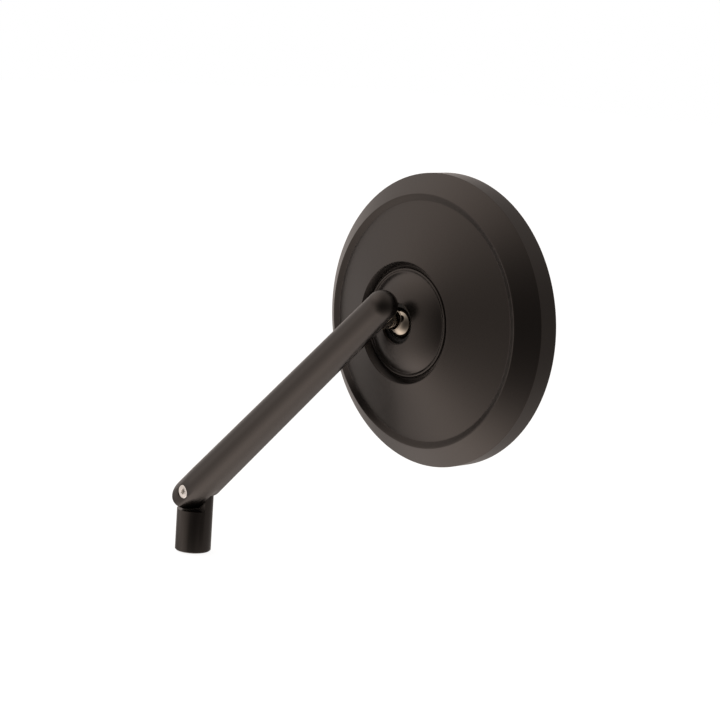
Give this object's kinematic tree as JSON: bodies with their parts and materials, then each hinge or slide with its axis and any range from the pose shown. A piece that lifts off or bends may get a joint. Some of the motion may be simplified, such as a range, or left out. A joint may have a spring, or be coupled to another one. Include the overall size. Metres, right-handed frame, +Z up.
{
  "type": "motorcycle mirror",
  "caption": "Round convex mirror in a turned head on a ball joint, carried by a straight tapered arm that folds on a threaded base.",
  "frame": {"origin": "centre of the base's bottom face, at the mouth of its threaded hole", "axes": "+Z up the base along its threaded hole, +X the way the arm leans, -Y the way the head's back faces; the folding pivot and the head's axis run along Y"},
  "size_m": [0.16, 0.044, 0.1622],
  "materials": {
    "anodised": "matt black anodised",
    "steel": "bright stainless steel",
    "plated": "polished nickel plate",
    "bronze": "plain bronze",
    "nylon": "black nylon",
    "backing": "moulded black plastic",
    "foam": "black adhesive foam",
    "glass": "silvered convex glass"
  },
  "bodies": {
    "base": {"base_adapter": "anodised", "pivot_screw": "steel", "pivot_nut": "steel", "nut_washer": "steel"},
    "arm": {"arm": "anodised", "pivot_bush": "bronze", "friction_washer": "nylon", "ball_stud": "plated", "stud_collar": "plated"},
    "liner": {"liner_back": "nylon", "liner_front": "nylon"},
    "seat": {"seat_back": "nylon", "seat_front": "nylon"},
    "head": {"disc_spring": "steel", "housing": "anodised", "clamp_plate": "steel", "clamp_screw_1": "steel", "clamp_screw_2": "steel", "clamp_screw_3": "steel", "backing_plate": "backing", "glass_foam": "foam", "mirror_glass": "glass"}
  },
  "joints": [
    {"name": "arm_fold", "type": "hinge", "parent": "base", "child": "arm", "pos_m": [0, 0, 0.0246], "axis": [0, 1, 0], "range_deg": [-138, 42]},
    {"name": "head_tilt", "type": "hinge", "parent": "arm", "child": "liner", "pos_m": [0.09782, 0.01507, 0.10725], "axis": [0.6691, 0, -0.7431], "range_deg": [-14, 16]},
    {"name": "head_roll", "type": "hinge", "parent": "liner", "child": "seat", "pos_m": [0.09782, 0.01507, 0.10725], "axis": [0.7431, 0, 0.6691], "range_deg": [-30, 10]},
    {"name": "head_spin", "type": "hinge", "parent": "seat", "child": "head", "pos_m": [0.09782, 0.01507, 0.10725], "axis": [0, 1, 0], "continuous": true}
  ]
}
